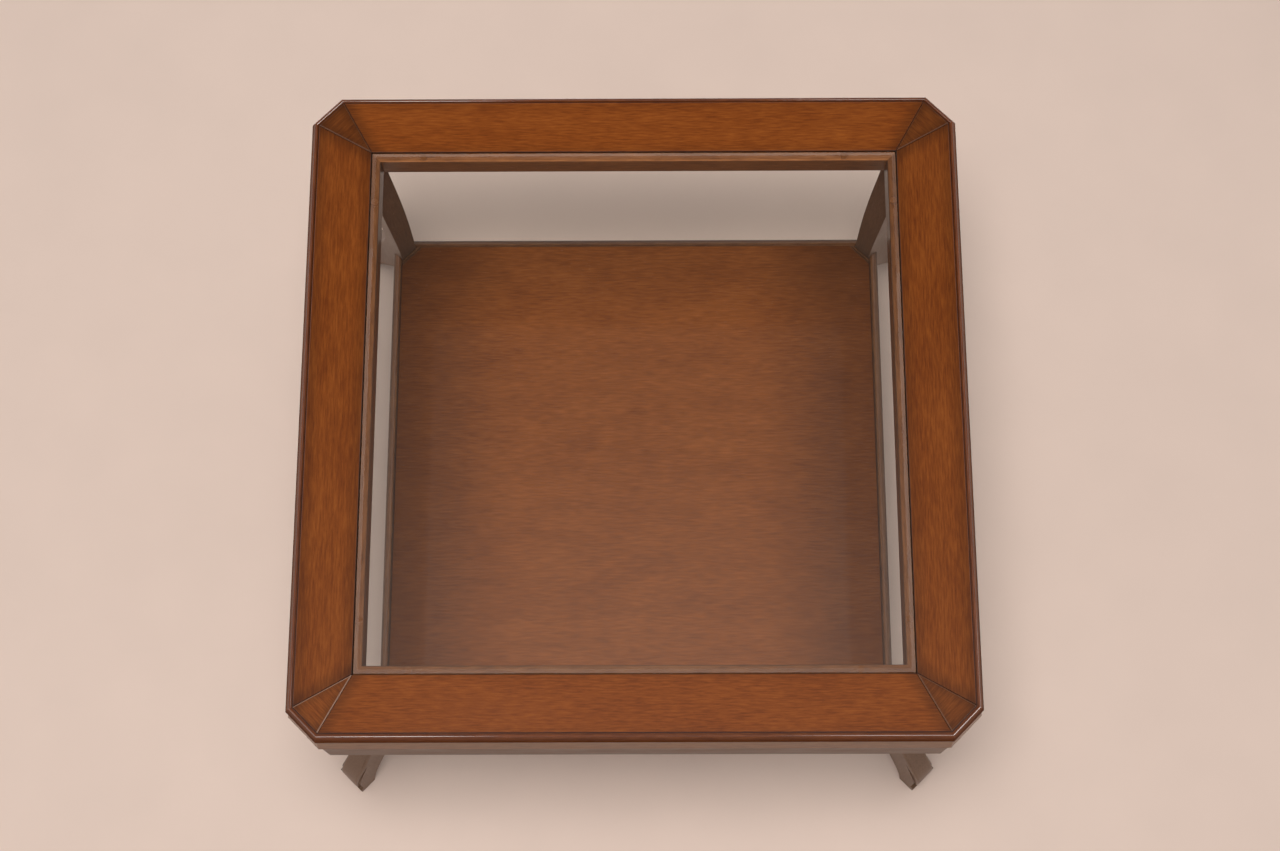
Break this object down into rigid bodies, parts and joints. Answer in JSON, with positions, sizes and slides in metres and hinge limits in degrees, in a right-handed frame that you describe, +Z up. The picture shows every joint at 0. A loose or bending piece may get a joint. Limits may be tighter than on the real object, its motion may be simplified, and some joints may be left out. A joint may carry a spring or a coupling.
{
  "type": "coffee table",
  "caption": "Square wooden coffee table with clipped corners, a drop-in bevelled glass top, curved corner legs and a low shelf.",
  "frame": {"origin": "on the floor, under the middle of the top", "axes": "+Z up; -Y to the table's front as pictured; +X to the right seen from the front"},
  "size_m": [0.7792, 0.7792, 0.48],
  "materials": {
    "veneer": "satin lacquer over reddish-brown stained veneer",
    "solid_wood": "satin lacquer over brown stained solid wood",
    "shelf_veneer": "satin lacquer over reddish-brown stained veneer",
    "glass": "clear, polished bevel",
    "bumper": "clear soft vinyl",
    "beech": "unfinished",
    "screw": "zinc plated",
    "glide": "plain"
  },
  "bodies": {
    "frame": {"top_rail_front": "veneer", "top_rail_back": "veneer", "top_rail_left": "veneer", "top_rail_right": "veneer", "edge_moulding_front": "solid_wood", "edge_moulding_back": "solid_wood", "edge_moulding_left": "solid_wood", "edge_moulding_right": "solid_wood", "frieze_moulding_front": "solid_wood", "frieze_moulding_back": "solid_wood", "frieze_moulding_left": "solid_wood", "frieze_moulding_right": "solid_wood", "glass_ledge_front": "solid_wood", "glass_ledge_back": "solid_wood", "glass_ledge_left": "solid_wood", "glass_ledge_right": "solid_wood", "apron_front": "veneer", "apron_back": "veneer", "apron_left": "veneer", "apron_right": "veneer", "shelf_edge_front": "solid_wood", "shelf_edge_back": "solid_wood", "shelf_edge_left": "solid_wood", "shelf_edge_right": "solid_wood", "corner_wedge_front_left": "veneer", "corner_wedge_front_right": "veneer", "corner_wedge_back_left": "veneer", "corner_wedge_back_right": "veneer", "edge_corner_front_left": "solid_wood", "edge_corner_front_right": "solid_wood", "edge_corner_back_left": "solid_wood", "edge_corner_back_right": "solid_wood", "frieze_corner_front_left": "solid_wood", "frieze_corner_front_right": "solid_wood", "frieze_corner_back_left": "solid_wood", "frieze_corner_back_right": "solid_wood", "apron_corner_front_left": "veneer", "apron_corner_front_right": "veneer", "apron_corner_back_left": "veneer", "apron_corner_back_right": "veneer", "leg_front_left": "solid_wood", "leg_front_right": "solid_wood", "leg_back_left": "solid_wood", "leg_back_right": "solid_wood", "shelf_corner_front_left": "solid_wood", "shelf_corner_front_right": "solid_wood", "shelf_corner_back_left": "solid_wood", "shelf_corner_back_right": "solid_wood", "shelf_panel": "shelf_veneer", "glass_bumpers": "bumper", "joint_splines": "beech", "apron_tongues": "beech", "corner_dowels": "beech", "leg_dowels": "beech", "shelf_dowels": "beech", "glue_blocks": "beech", "top_screws": "screw", "foot_glides": "glide"},
    "glass": {"glass_pane": "glass"}
  },
  "joints": [
    {"name": "glass_lift", "type": "slide", "parent": "frame", "child": "glass", "axis": [0, 0, 1], "range_m": [0, 0.1]}
  ]
}
